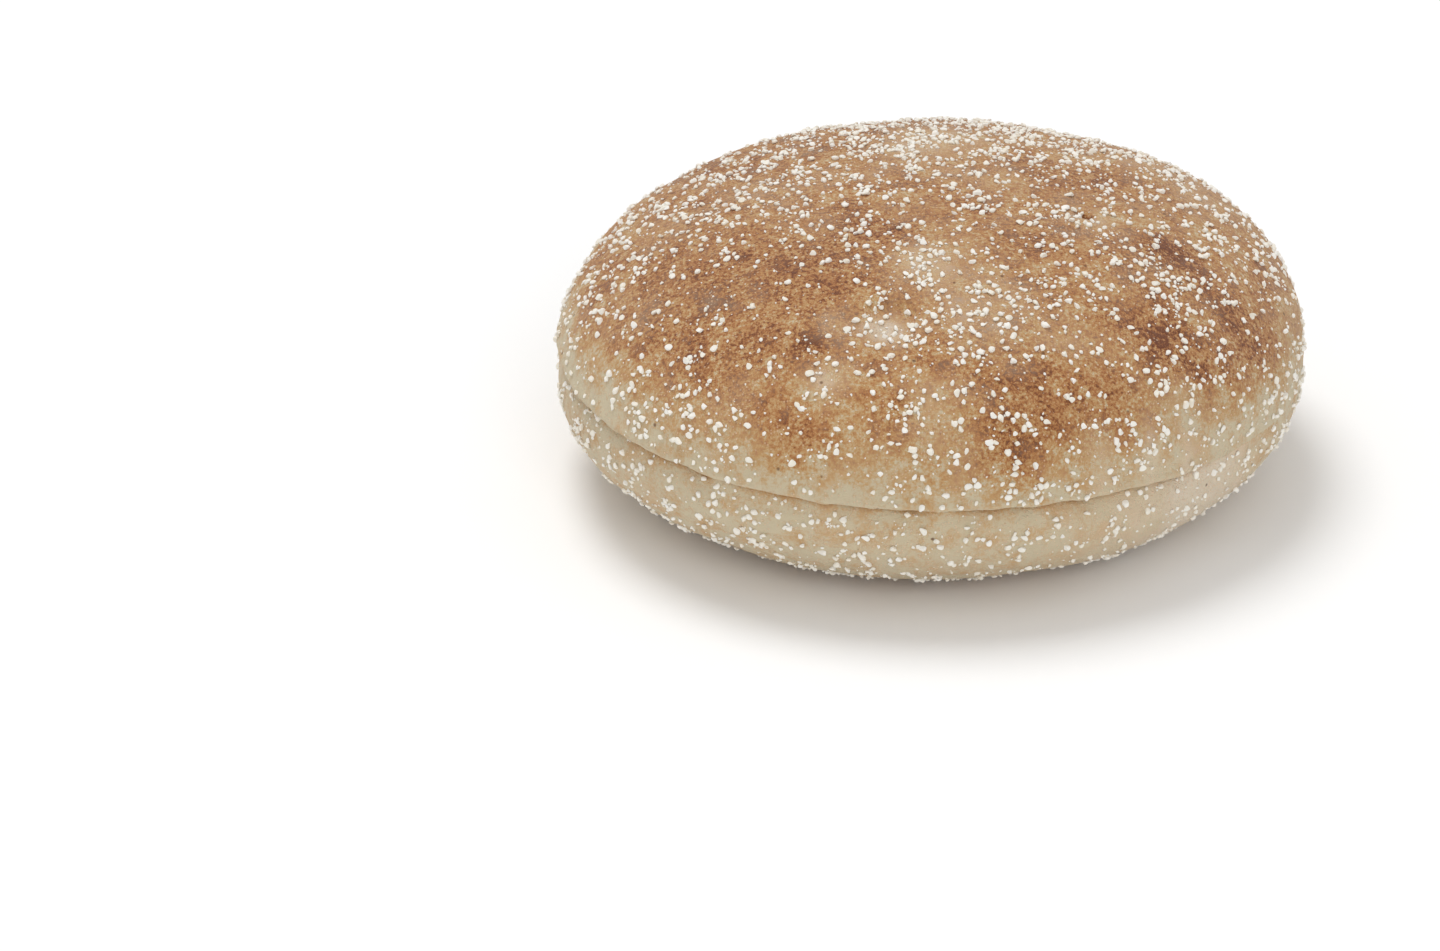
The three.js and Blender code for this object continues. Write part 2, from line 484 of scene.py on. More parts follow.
class BreadGrid:
    """The bread's vertices and faces, with what each vertex knows about its place.

    side says what each face belongs to: 0 the crown, 1 the heel, 2 and 3 the cut's two faces.
    """

    def __init__(self, shape, seed):
        self.loaf = Loaf(shape)
        self.gap = shape.cut_gap / MM
        self.pits = self.choose_pits(np.random.default_rng(seed))
        self.points, self.over_lip, self.chart, self.count = [], [], [], 0
        hinge = shape.hinge_azimuth
        # Columns start in the middle of the hinge, so the cut is one unbroken run of them.
        self.azimuth = hinge + np.arange(COLUMNS) / COLUMNS * 2 * np.pi
        lip = self.loaf.along_at_cut(self.azimuth)
        edge = self.loaf.point(self.azimuth, lip)
        towards_hinge = edge[:, 0] * math.cos(hinge) + edge[:, 1] * math.sin(hinge)
        cut = np.flatnonzero(towards_hinge < self.loaf.radius - shape.hinge_width / MM)
        self.first, self.last = cut[0], cut[-1]
        self.open = self.opening(edge)
        self.wobble = waves(edge, LINE_WAVES)
        crown = self.outer(lip, np.zeros(COLUMNS), CROWN_ROWS, 1)
        heel = self.outer(lip, np.full(COLUMNS, self.loaf.along[-1]), HEEL_ROWS, -1)
        whole = np.ones(COLUMNS, bool)
        whole[self.first + 1 : self.last] = False
        heel[0, whole] = crown[0, whole]
        sides = [quads(crown[::-1], closed=True), quads(heel, closed=True)]
        sides += self.cut_faces(crown[0], heel[0])
        self.faces = sum(sides, [])
        self.side = np.repeat(np.arange(len(sides)), [len(faces) for faces in sides])
        self.drop_unused()

    def choose_pits(self, rng):
        """Burst bubbles in the crown: where they are, how wide and how deep."""
        azimuth = rng.uniform(0, 2 * np.pi, PITS)
        along = rng.uniform(*PIT_REACH, PITS) ** PIT_CROWDING * self.loaf.along[-1]
        middles = self.loaf.point(azimuth, along)
        return list(zip(middles, rng.uniform(*PIT_WIDTHS, PITS), rng.uniform(*PIT_DEPTHS, PITS)))

    def opening(self, edge):
        """How open the cut is at each column: 0 at its ends and the hinge, about 1 elsewhere."""
        steps = np.linalg.norm(np.diff(edge, axis=0, append=edge[:1]), axis=1)
        travelled = np.cumsum(steps)
        to_end = np.minimum(travelled - travelled[self.first], travelled[self.last] - travelled)
        parted = np.clip(1 + waves(edge, PARTING_WAVES), LEAST_PARTED, MOST_PARTED)
        return smoothstep(to_end, 0, TAPER) * parted

    def swelling(self, points, over_lip, side):
        """How far the crust stands out from (or in from) the smooth loaf."""
        out = waves(points, SKIN_WAVES)
        out -= mounds(points[:, 0], points[:, 1], DENTS) * (over_lip > 0)
        if side > 0:
            for middle, width, depth in self.pits:
                out -= depth * np.exp(-(((points - middle) / width) ** 2).sum(1))
        return out

    def outer(self, lip, end, count, side):
        """The outer surface above (side 1) or below (side -1) the cut, from its lip to its pole."""
        along, distance = rows_from_lip(lip, end, count)
        points = self.loaf.point(self.azimuth[None, :], along)
        normal = self.loaf.normal(self.azimuth[None, :], along)
        swelling = self.swelling(points.reshape(-1, 3), side * distance.reshape(-1), side)
        points = points + normal * swelling.reshape(distance.shape + (1,))
        # The upper lip stands a little over the lower one, and both are rounded off.
        depth, width = UPPER_TUCK if side > 0 else LOWER_TUCK
        tuck = depth * np.exp(-distance / width) * np.minimum(self.open, 1)
        if side > 0:
            bead = BEAD * np.exp(-(((distance - BEAD_AT) / BEAD_WIDTH) ** 2))
            tuck -= bead * np.minimum(self.open, 1)
        points[..., 0] -= tuck * np.cos(self.azimuth)
        points[..., 1] -= tuck * np.sin(self.azimuth)
        stand_off = side * LIP_OPENS * self.gap * self.open
        points[..., 2] += stand_off * np.exp(-distance / LIP_WIDTH)
        points[..., 2] += self.wobble * np.exp(-distance / LINE_FADE)
        lift = BASE_LIFT * (1 + waves(points.reshape(-1, 3), BASE_WAVES)).reshape(distance.shape)
        points[..., 2] = np.maximum(points[..., 2], lift)
        from_pole = (np.abs(end - along) / np.abs(end - lip))[..., None]
        around = np.stack([np.cos(self.azimuth), np.sin(self.azimuth)], -1)
        numbers = self.add(points, side * distance, from_pole * around)
        numbers[-1] = numbers[-1, 0]
        return numbers

    def cut_faces(self, upper_lip, lower_lip):
        """The two faces of the cut. They close on each other towards the hinge."""
        run = slice(self.first + 1, self.last)
        share = np.linspace(0, 1, self.last - self.first + 1)[1:-1, None]
        steps = np.array(FACE_STEPS)[:, None, None]

        def inwards(values, lip):
            """Values on straight lines from the lip to the hinge, which joins the cut's ends."""
            one_end, other_end = values[upper_lip[self.first]], values[upper_lip[self.last]]
            start, hinge = values[lip[run]], one_end + share * (other_end - one_end)
            return start + steps * (hinge - start)

        points, chart = np.concatenate(self.points), np.concatenate(self.chart)
        sheets = []
        for lip in (upper_lip, lower_lip):
            inner = inwards(points, lip)
            rows = self.add(inner, np.zeros(inner.shape[:2]), inwards(chart, lip))
            if sheets:
                rows[-1] = sheets[0][-1, 1:-1]
            ends = np.broadcast_to(lip[[self.first, self.last]], (len(rows), 2))
            rows = np.hstack([ends[:, :1], rows, ends[:, 1:]])
            sheets.append(np.vstack([lip[self.first : self.last + 1], rows]))
        return [quads(sheets[0]), quads(sheets[1][::-1])]

    def add(self, points, over_lip, chart):
        """Adds a grid of points, and returns their numbers in the same grid."""
        numbers = self.count + np.arange(over_lip.size).reshape(over_lip.shape)
        self.points.append(points.reshape(-1, 3))
        self.over_lip.append(over_lip.reshape(-1))
        self.chart.append(chart.reshape(-1, 2))
        self.count += over_lip.size
        return numbers

    def drop_unused(self):
        """Leaves out the vertices that a shared one stands for, and renumbers the faces."""
        used = np.unique(np.concatenate([np.array(face) for face in self.faces]))
        number = np.zeros(self.count, int)
        number[used] = np.arange(len(used))
        self.points = np.concatenate(self.points)[used]
        self.over_lip = np.concatenate(self.over_lip)[used]
        self.chart = np.concatenate(self.chart)[used]
        self.faces = [number[face].tolist() for face in self.faces]


def crust_fields(points, over_lip):
    """How browned (with painted shade under the upper lip and in the burst bubble) and how floury the
    crust is at each point, from 0 to 1.
    """
    x, y, z = points.T
    on_crown = over_lip > 0
    wander = cloud(points, *WANDER)
    blotch = cloud(points, *BLOTCH)
    # toasted also carries the painted shade that darkens the burst bubble's hollow
    toasted = mounds(x, y, TOASTED_AND_PIT_SHADE)
    # The oven's heat comes from above, so the crust grows paler down the shoulder.
    up_shoulder = over_lip - (SHOULDER_MIDDLE + SHOULDER_WANDER * wander)
    crown = CROWN_BROWNING + CROWN_WANDER * wander + CROWN_BLOTCH * blotch + toasted
    crown *= smoothstep(up_shoulder, *SHOULDER_SPAN)
    # painted shade: the heel is darkened just under the upper lip, where the lip's overhang casts its
    # shadow
    lip = UNDER_LIP_SHADE * np.exp(np.minimum(over_lip, 0) / UNDER_LIP_SHADE_WIDTH)
    tray = TRAY_BROWNING * near_base(z, *TRAY_HEIGHTS)
    heel = HEEL_BROWNING + HEEL_BLOTCH * blotch + lip + tray
    flour = np.where(on_crown, CROWN_FLOUR - FLOUR_LOST * toasted, HEEL_FLOUR)
    flour += waves(points, FLOUR_WAVES)
    smeared = FLOUR_IN_DRIFTS * mounds(x, y, DRIFTS) + mounds(x, y, SMEARS)
    flour += np.where(on_crown, smeared, mounds(x, y, HEEL_SMEARS))
    flour += TRAY_FLOUR * near_base(z, *TRAY_FLOUR_HEIGHTS)
    return np.clip(np.where(on_crown, crown, heel), 0, 1), np.clip(flour, 0, 1)


def near_base(z, all_below, none_above):
    """1 up to one height over the base, 0 from another, and a soft fall between them."""
    return smoothstep(-z, -none_above, -all_below)


def new_mesh(name, points, faces, values):
    """A mesh object from points in millimetres, with a float attribute for each named value."""
    mesh = bpy.data.meshes.new(name)
    mesh.from_pydata((points * MM).tolist(), [], faces)
    for key, value in values.items():
        mesh.attributes.new(key, "FLOAT", "POINT").data.foreach_set("value", value.astype("f"))
    mesh.update()
    piece = bpy.data.objects.new(name, mesh)
    bpy.context.scene.collection.objects.link(piece)
    return piece


def lay_out(mesh, corners):
    """Stores where each face corner lies on the maps that a finish may be baked to."""
    layer = mesh.uv_layers.new(name="OFBake")
    layer.data.foreach_set("uv", corners.reshape(-1).astype("f"))


def make_bread(scene):
    grid = BreadGrid(scene.bun_shape, scene.bun_grits.seed)
    browning, flour = crust_fields(grid.points, grid.over_lip)
    values = {"browning": browning, "flour": flour, "over_lip": grid.over_lip}
    bread = new_mesh(BREAD_NAME, grid.points, grid.faces, values)
    sides = np.repeat(grid.side, [len(face) for face in grid.faces])
    discs = np.array(BAKE_DISCS)[sides]
    lay_out(bread.data, discs[:, :2] + discs[:, 2:] * grid.chart[np.concatenate(grid.faces)])
    bread.data.materials.append(wheat_crust(scene.bun_finish))
    bread.data.materials.append(wheat_crumb(scene.bun_finish))
    bread.data.polygons.foreach_set("material_index", (grid.side > 1).astype("i"))
    bread.data.shade_smooth()
    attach(bread, BODY)
    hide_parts(NODE)


# ---------------------------------------------------------------- grain

GRAIN_SHAPES = 32
CHIPS, CHIP_REACH = 8, (0.4, 0.8)  # broken faces on each grain, and how far from its middle
GRAIN_RADII = ((0.55, 0.66), (0.42, 0.54), (0.3, 0.42))  # of the unbroken ball: long, wide, high
GRAIN_HEIGHT = 0.62  # the usual height, as a share of a grain's size
SUNK = 0.35  # how much of a grain's height the dough took in
TILT = 0.22  # how far grains lean from upright on the crust, in radians
CLEAR_OF_LIP = 0.7
NEAREST = 0.64  # how near two grains may lie, as a share of their touching distance
NEIGHBOURHOOD = 1.6  # no two grains that touch are further apart than this, in millimetres

# How much grain is on each part of the crust, against the density that is set.
CROWN_AMOUNT, HEEL_AMOUNT, UNDERNEATH_AMOUNT = 0.8, 0.75, 0.6
UNDERNEATH = -0.5  # the upward part of the normal below which crust counts as underneath
LEAST_DRIFT = 0.2
CLUMPS, PATCHES = (3.2, 2, 6.5), (13.0, 2, 9.5)  # clouds by width, octaves and shift
PATCHINESS = 0.5
# For each sieving: how much it clumps, and how its sizes spread about the mean, with their limits.
COARSE_SIEVING = (2.6, 0.15, 0.6, 1.4)
FINE_SIEVING = (1.8, 0.35, 0.5, 1.8)

# A grain's map is two discs side by side in a cell 1 wide. Each holds half of the ball and the
# faces that reach past its edge.
DISC_REACH = math.radians(125)
DISC_MIDDLE, DISC_APART, DISC_WIDE, DISC_HIGH = 0.25, 0.5, 0.24, 0.48


def ball(subdivisions):
    """The vertices and faces of a ball of radius 1."""
    shape = bmesh.new()
    bmesh.ops.create_icosphere(shape, subdivisions=subdivisions, radius=1)
    points = np.array([vertex.co[:] for vertex in shape.verts])
    faces = np.array([[vertex.index for vertex in face.verts] for face in shape.faces])
    shape.free()
    return points, faces


def cracked_grain(rng, points):
    """A ball broken flat on several sides, about 1 wide, longer than it is wide or high."""
    grain = points.copy()
    for _ in range(CHIPS):
        facing = rng.normal(size=3)
        facing /= np.linalg.norm(facing)
        too_far = np.maximum(grain @ facing - rng.uniform(*CHIP_REACH), 0)
        grain -= too_far[:, None] * facing
    return grain * np.array([rng.uniform(*radii) for radii in GRAIN_RADII])


def grain_chart(points, faces):
    """Where a ball's face corners lie in a cell 1 wide: its top half left, its bottom half right."""
    x, y, z = np.moveaxis(points[faces], -1, 0)
    below = z.mean(1, keepdims=True) < 0
    from_pole = np.arccos(np.clip(np.where(below, -z, z), -1, 1)) / DISC_REACH
    turn = np.arctan2(y, x)
    across = DISC_MIDDLE + DISC_APART * below + DISC_WIDE * from_pole * np.cos(turn)
    return np.stack([across, 0.5 + DISC_HIGH * from_pole * np.sin(turn)], -1)


class Crust:
    """The outer triangles of the finished bread, where grain can land."""

    def __init__(self, bread):
        mesh = bread.data
        mesh.calc_loop_triangles()
        corner = np.zeros(len(mesh.loop_triangles) * 3, "i")
        mesh.loop_triangles.foreach_get("vertices", corner)
        material = np.zeros(len(mesh.loop_triangles), "i")
        mesh.loop_triangles.foreach_get("material_index", material)
        points = np.zeros(len(mesh.vertices) * 3)
        mesh.vertices.foreach_get("co", points)
        over_lip = np.zeros(len(mesh.vertices), "f")
        mesh.attributes["over_lip"].data.foreach_get("value", over_lip)
        corner = corner.reshape(-1, 3)[material == 0]
        self.corners = points.reshape(-1, 3)[corner] / MM
        self.over_lip = over_lip[corner].mean(1)
        first, second, third = np.moveaxis(self.corners, 1, 0)
        upright = np.cross(second - first, third - first)
        twice_area = np.linalg.norm(upright, axis=1)
        self.area = twice_area / 2
        self.normal = upright / np.maximum(twice_area, 1e-12)[:, None]
        self.middle = self.corners.mean(1)

    def thickness_of_sprinkling(self, clumps):
        """How much more (or less) grain than usual lies on each triangle."""
        x, y, _ = self.middle.T
        crown = self.over_lip > 0
        drifts = np.clip(1 + mounds(x, y, DRIFTS), LEAST_DRIFT, None)
        underneath = self.normal[:, 2] < UNDERNEATH
        below = np.where(underneath, UNDERNEATH_AMOUNT, HEEL_AMOUNT)
        amount = np.where(crown, CROWN_AMOUNT * drifts, below)
        bunched = np.exp(clumps * cloud(self.middle, *CLUMPS))
        bunched *= np.exp(PATCHINESS * cloud(self.middle, *PATCHES))
        bunched *= self.area.sum() / (self.area * bunched).sum()
        return amount * bunched * (np.abs(self.over_lip) > CLEAR_OF_LIP)

    def land(self, rng, per_square_centimetre, clumps):
        """Random places for grain, with the normal at each."""
        weight = self.area * self.thickness_of_sprinkling(clumps)
        count = int(weight.sum() / 100 * per_square_centimetre)
        hit = rng.choice(len(weight), count, p=weight / weight.sum())
        a, b = rng.random((2, count))
        folded = a + b > 1
        a[folded], b[folded] = 1 - a[folded], 1 - b[folded]
        corner = self.corners[hit]
        places = corner[:, 0] + a[:, None] * (corner[:, 1] - corner[:, 0])
        places += b[:, None] * (corner[:, 2] - corner[:, 0])
        return places, self.normal[hit], self.over_lip[hit]


def grain_kit(rng, subdivisions):
    """Some differently broken grains, with the faces that they share and their chart."""
    points, faces = ball(subdivisions)
    shapes = np.array([cracked_grain(rng, points) for _ in range(GRAIN_SHAPES)])
    return shapes, faces, grain_chart(points, faces)


def keep_apart(places, sizes, taken):
    """Which places stay free when each grain in turn settles. taken holds what lies there."""
    kept = []
    for number, (place, size) in enumerate(zip(places, sizes)):
        home = tuple(np.floor(place / NEIGHBOURHOOD).astype(int))
        near = (
            other
            for i in (-1, 0, 1)
            for j in (-1, 0, 1)
            for k in (-1, 0, 1)
            for other in taken.get((home[0] + i, home[1] + j, home[2] + k), ())
        )
        if all(math.dist(place, spot) > NEAREST * (size + width) / 2 for spot, width in near):
            taken.setdefault(home, []).append((tuple(place), size))
            kept.append(number)
    return np.array(kept)


def upright_frames(rng, normals):
    """For each grain three axes, with the last near the crust's normal and a random spin."""
    up = normals + rng.normal(scale=TILT, size=normals.shape)
    up /= np.linalg.norm(up, axis=1, keepdims=True)
    side = np.cross(up, rng.normal(size=normals.shape))
    side /= np.linalg.norm(side, axis=1, keepdims=True)
    return np.stack([side, np.cross(up, side), up], 1)


def grain_mesh(name, rng, kit, places, normals, sizes, material):
    shapes, faces, chart = kit
    chosen = shapes[rng.integers(len(shapes), size=len(places))]
    frames = upright_frames(rng, normals)
    lift = (0.5 - SUNK) * GRAIN_HEIGHT * sizes
    points = np.einsum("nvi,nij->nvj", chosen * sizes[:, None, None], frames)
    points += (places + normals * lift[:, None])[:, None, :]
    points[..., 2] = np.maximum(points[..., 2], 0)
    number = (np.arange(len(places)) * shapes.shape[1])[:, None, None]
    tone = np.repeat(rng.random(len(places)), shapes.shape[1])
    all_faces = (faces[None] + number).reshape(-1, 3).tolist()
    piece = new_mesh(name, points.reshape(-1, 3), all_faces, {"tone": tone})
    cells = math.ceil(math.sqrt(len(places)))
    row, column = np.divmod(np.arange(len(places)), cells)
    corner = np.stack([column, row], -1)[:, None, None]
    lay_out(piece.data, (corner + chart) / cells)
    piece.data.materials.append(material)
    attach(piece, BODY)


def sprinkle(crust, rng, density, mean_size, sieving, taken):
    """Lets one sieving of grain fall: the place, normal, height over the lip and size of each."""
    clumps, spread, least, most = sieving
    places, normals, over_lip = crust.land(rng, density, clumps)
    sizes = mean_size / MM * np.clip(rng.normal(1, spread, len(places)), least, most)
    kept = keep_apart(places, sizes, taken)
    return places[kept], normals[kept], over_lip[kept], sizes[kept]


def make_grits(scene):
    settings = scene.bun_grits
    rng = np.random.default_rng(settings.seed)
    crust = Crust(bpy.data.objects[BREAD_NAME])
    material = cracked_grain_finish(scene.bun_finish)
    taken = {}
    coarse = grain_kit(rng, 2)
    places, normals, over_lip, sizes = sprinkle(
        crust, rng, settings.coarse_density, settings.coarse_size, COARSE_SIEVING, taken
    )
    # The crown's coarse grain is in two pieces, to keep each one light enough to export whole.
    crown, front = over_lip > 0, places[:, 1] < 0
    for name, here in (
        ("crown_front_grits", crown & front),
        ("crown_rear_grits", crown & ~front),
        ("heel_grits", ~crown),
    ):
        grain_mesh(name, rng, coarse, places[here], normals[here], sizes[here], material)
    fine = grain_kit(rng, 1)
    places, normals, _, sizes = sprinkle(
        crust, rng, settings.fine_density, settings.fine_size, FINE_SIEVING, taken
    )
    grain_mesh("fine_grits", rng, fine, places, normals, sizes, material)


# ---------------------------------------------------------------- materials

# Pattern sizes, in millimetres. Flour is about 0.1 mm fine and the skin's own grain is finer than
# that, too fine to show in the render, so both are drawn as coarse as they need to show.
SKIN_GRAIN = 0.6  # the widest of five octaves, down to 0.04
SUGAR_BLOTCHES = 3.2  # where more sugar came to the skin, it browned first
FLOUR_SPACING = 0.46  # specks of flour, drawn 0.2 to 0.35 wide
BRAN_SPACING = 0.9  # flecks of bran, 0.35 to 0.7 wide
CRUMB_HOLES = 1.2  # the holes in a close sandwich crumb
GRAIN_CLOUDS = 0.6  # the starch's own clouding, drawn about as wide as half a grain

SPECK_EDGE, SPECK_CORE = 0.4, 0.2  # where a speck starts to show and is full, in its spacing

# How the crust's patterns work on its colour and its relief.
GRAININESS, GRAININESS_BROWNED = 0.8, 3.2  # of pale skin, and what browning adds to it
MOTTLING = 1.2
FLOUR_GATHERS = 0.8  # how much the skin's grain and its blotches each gather the flour
SPECKS_LEAST, SPECKS_WITH_FLOUR = 0.08, 1.1  # the share of the specks that are there
SPECK_COVERS = 0.6
BRAN_SHARE, BRAN_COVERS = 0.006, 0.8
# Where the haze and the caked flour start and are full, and how much of the skin they then cover.
HAZE_RANGE, CAKED_RANGE = (1.0, 1.8, 0.7), (1.4, 2.0, 0.6)
SKIN_RELIEF, BLOTCH_RELIEF, SPECK_RELIEF = 0.4, 0.7, 0.4  # millimetres, and shares of them


def node(tree, kind, inputs=None, **settings):
    """Adds a shader node of a kind, with its settings.

    Each input is a value, or another node's output to link.
    """
    made = tree.nodes.new("ShaderNode" + kind)
    for name, value in settings.items():
        setattr(made, name, value)
    for socket, value in (inputs or {}).items():
        if isinstance(value, bpy.types.NodeSocket):
            tree.links.new(value, made.inputs[socket])
        else:
            made.inputs[socket].default_value = value
    return made


def new_material(name):
    """A material with nodes, and its empty node tree."""
    material = bpy.data.materials.new(name)
    material.use_nodes = True
    material.node_tree.nodes.clear()
    return material, material.node_tree


def per(millimetres):
    """The texture scale whose features are that wide."""
    return 1 / (millimetres * MM)


def solid(value):
    """A colour as a socket takes it, with its alpha."""
    return (*value, 1.0)


def wheat_crust(finish):
    """Baked wheat crust: dry and matt, mottled from tan to red-brown, dusted with flour."""
    # The oven dried the skin and browned its sugar, so the eye sees a mottled brown with hardly a
    # shine. The flour dusted on it scatters light, so it sees a pale bloom, and specks that catch
    # the light.
    material, tree = new_material("Wheat crust, baked and floured")
    place = node(tree, "TexCoord").outputs["Object"]
    browning = node(tree, "Attribute", attribute_name="browning").outputs["Fac"]
    flour = node(tree, "Attribute", attribute_name="flour").outputs["Fac"]
    # The skin's grain, and the blotches of sugar that browned first.
    grain = node(
        tree,
        "TexNoise",
        {"Vector": place, "Scale": per(SKIN_GRAIN), "Detail": 4.0, "Roughness": 0.75},
    ).outputs["Fac"]
    mottle = node(
        tree, "TexNoise", {"Vector": place, "Scale": per(SUGAR_BLOTCHES), "Detail": 5.0}
    ).outputs["Fac"]
    # The skin is the more uneven, the more it is browned.
    uneven = node(
        tree, "Math", {0: browning, 1: GRAININESS_BROWNED, 2: GRAININESS}, operation="MULTIPLY_ADD"
    ).outputs[0]
    grain_off = node(tree, "Math", {0: grain, 1: 0.5}, operation="SUBTRACT").outputs[0]
    browned = node(
        tree, "Math", {0: grain_off, 1: uneven, 2: browning}, operation="MULTIPLY_ADD"
    ).outputs[0]
    browned = node(
        tree, "Math", {0: mottle, 1: MOTTLING, 2: browned}, operation="MULTIPLY_ADD"
    ).outputs[0]
    browned = node(tree, "Math", {0: browned, 1: MOTTLING / 2}, operation="SUBTRACT").outputs[0]
    ramp = node(tree, "ValToRGB", {"Fac": browned})
    stops = ((0.0, finish.pale), (0.33, finish.golden), (0.66, finish.brown), (1.0, finish.dark))
    while len(ramp.color_ramp.elements) < len(stops):
        ramp.color_ramp.elements.new(0.5)
    for element, (position, value) in zip(ramp.color_ramp.elements, stops):
        element.position, element.color = position, solid(value)
    # Flour lies as a thin haze in the skin, caked where it was smeared on thick, and as single
    # specks on top.
    lying = node(
        tree, "Math", {0: mottle, 1: FLOUR_GATHERS, 2: flour}, operation="MULTIPLY_ADD"
    ).outputs[0]
    lying = node(
        tree, "Math", {0: grain, 1: FLOUR_GATHERS, 2: lying}, operation="MULTIPLY_ADD"
    ).outputs[0]
    covers = []
    for (starts, full, most), tint in ((HAZE_RANGE, finish.haze), (CAKED_RANGE, finish.caked)):
        cover = node(
            tree,
            "MapRange",
            {"Value": lying, "From Min": starts, "From Max": full, "To Max": most},
        ).outputs["Result"]
        covers.append((cover, tint))
    many = node(
        tree, "Math", {0: flour, 1: SPECKS_WITH_FLOUR, 2: SPECKS_LEAST}, operation="MULTIPLY_ADD"
    ).outputs[0]
    specks = speckle(tree, place, FLOUR_SPACING, many, SPECK_COVERS)
    bran = speckle(tree, place, BRAN_SPACING, BRAN_SHARE, BRAN_COVERS)
    covers += [(specks, finish.flour), (bran, finish.bran)]
    skin = ramp.outputs["Color"]
    for cover, tint in covers:
        skin = node(
            tree,
            "Mix",
            {"Factor": cover, "A": skin, "B": solid(tint)},
            data_type="RGBA",
        ).outputs["Result"]
    relief = node(
        tree, "Math", {0: mottle, 1: BLOTCH_RELIEF, 2: grain}, operation="MULTIPLY_ADD"
    ).outputs[0]
    relief = node(
        tree, "Math", {0: specks, 1: SPECK_RELIEF, 2: relief}, operation="MULTIPLY_ADD"
    ).outputs[0]
    bump = node(tree, "Bump", {"Distance": SKIN_RELIEF * MM, "Height": relief}).outputs["Normal"]
    shader = node(
        tree,
        "BsdfPrincipled",
        {
            "Base Color": skin,
            "Roughness": 0.68,
            "IOR": 1.45,
            "Specular IOR Level": 0.25,
            "Sheen Weight": 0.12,
            "Sheen Roughness": 0.6,
            "Subsurface Weight": 0.08,
            "Subsurface Radius": (1.0, 0.6, 0.35),
            "Subsurface Scale": 1.2 * MM,
            "Normal": bump,
        },
    )
    node(tree, "OutputMaterial", {"Surface": shader.outputs["BSDF"]})
    return material


def speckle(tree, place, spacing, chance, strength):
    """A mask of separate round specks. chance is the share of them that are there."""
    cells = node(tree, "TexVoronoi", {"Vector": place, "Scale": per(spacing), "Randomness": 1.0})
    spot = node(
        tree,
        "MapRange",
        {
            "Value": cells.outputs["Distance"],
            "From Min": SPECK_EDGE,
            "From Max": SPECK_CORE,
            "To Max": strength,
        },
    ).outputs["Result"]
    lot = node(tree, "SeparateColor", {"Color": cells.outputs["Color"]}).outputs["Red"]
    there = node(tree, "Math", {0: lot, 1: chance}, operation="LESS_THAN").outputs[0]
    return node(tree, "Math", {0: spot, 1: there}, operation="MULTIPLY").outputs[0]


def wheat_crumb(finish):
    """Soft wheat crumb, sliced: pale, matt and finely open."""
    # The blade opened small holes whose walls shade each other, so it looks pale, soft and dull; the
    # colour is painted darker, towards the golden crust, in the holes as painted shade.
    material, tree = new_material("Wheat crumb, sliced")
    place = node(tree, "TexCoord").outputs["Object"]
    holes = node(
        tree, "TexNoise", {"Vector": place, "Scale": per(CRUMB_HOLES), "Detail": 4.0}
    ).outputs["Fac"]
    # painted shade: darker golden colour where the hole pattern is low
    shade = node(
        tree,
        "Mix",
        {"Factor": holes, "A": solid(finish.golden), "B": solid(finish.crumb)},
        data_type="RGBA",
    )
    bump = node(tree, "Bump", {"Strength": 0.8, "Distance": 0.3 * MM, "Height": holes}).outputs["Normal"]
    shader = node(
        tree,
        "BsdfPrincipled",
        {
            "Base Color": shade.outputs["Result"],
            "Roughness": 0.9,
            "IOR": 1.45,
            "Specular IOR Level": 0.25,
            "Normal": bump,
        },
    )
    node(tree, "OutputMaterial", {"Surface": shader.outputs["BSDF"]})
    return material


def cracked_grain_finish(finish):
    """Cracked grain, milled and sifted: starchy off-white, slightly clear at its edges."""
    # The mill broke each grain open, so the eye mostly meets bright, chalky starch. A grain that
    # kept some of its skin is creamier.
    material, tree = new_material("Cracked grain, milled")
    place = node(tree, "TexCoord").outputs["Object"]
    tone = node(tree, "Attribute", attribute_name="tone").outputs["Fac"]
    cloudy = node(
        tree, "TexNoise", {"Vector": place, "Scale": per(GRAIN_CLOUDS), "Detail": 2.0}
    ).outputs["Fac"]
    share = node(tree, "Math", {0: tone, 1: cloudy}, operation="MULTIPLY").outputs[0]
    shade = node(
        tree,
        "Mix",
        {"Factor": share, "A": solid(finish.grain_light), "B": solid(finish.grain_dark)},
        data_type="RGBA",
    )
    shader = node(
        tree,
        "BsdfPrincipled",
        {
            "Base Color": shade.outputs["Result"],
            "Roughness": 0.6,
            "IOR": 1.5,
            "Specular IOR Level": 0.4,
            "Subsurface Weight": 0.15,
            "Subsurface Radius": (1.0, 0.9, 0.75),
            "Subsurface Scale": 0.3 * MM,
        },
    )
    node(tree, "OutputMaterial", {"Surface": shader.outputs["BSDF"]})
    return material


def studio_board(studio):
    """White studio board, painted matt."""
    # Its paint has no shine, so the eye sees an even white that only the soft shadow marks.
    material, tree = new_material("Studio board, painted matt")
    shader = node(
        tree,
        "BsdfPrincipled",
        {"Base Color": solid(studio.floor_colour), "Roughness": 0.95, "Specular IOR Level": 0.1},
    )
    node(tree, "OutputMaterial", {"Surface": shader.outputs["BSDF"]})
    return material


# ---------------------------------------------------------------- stage

SENSOR_WIDTH = 36  # millimetres
# The round soft boxes: the setting for its power, its width and its place, in metres.
SOFT_BOXES = {
    "overhead_soft_box": ("key_power", 1.1, (-0.5, 0.6, 2.0)),
    "front_soft_box": ("fill_power", 0.9, (0.3, -1.4, 0.8)),
}


def aim(thing, at):
    """Turns a camera or a light to face a point."""
    thing.rotation_euler = (Vector(at) - thing.location).to_track_quat("-Z", "Y").to_euler()


def make_soft_box(name, power, width, place, at):
    lamp = bpy.data.lights.new(name, "AREA")
    lamp.shape, lamp.size, lamp.energy = "DISK", width, power
    light = bpy.data.objects.new(name, lamp)
    light.location = place
    aim(light, at)
    bpy.context.scene.collection.objects.link(light)


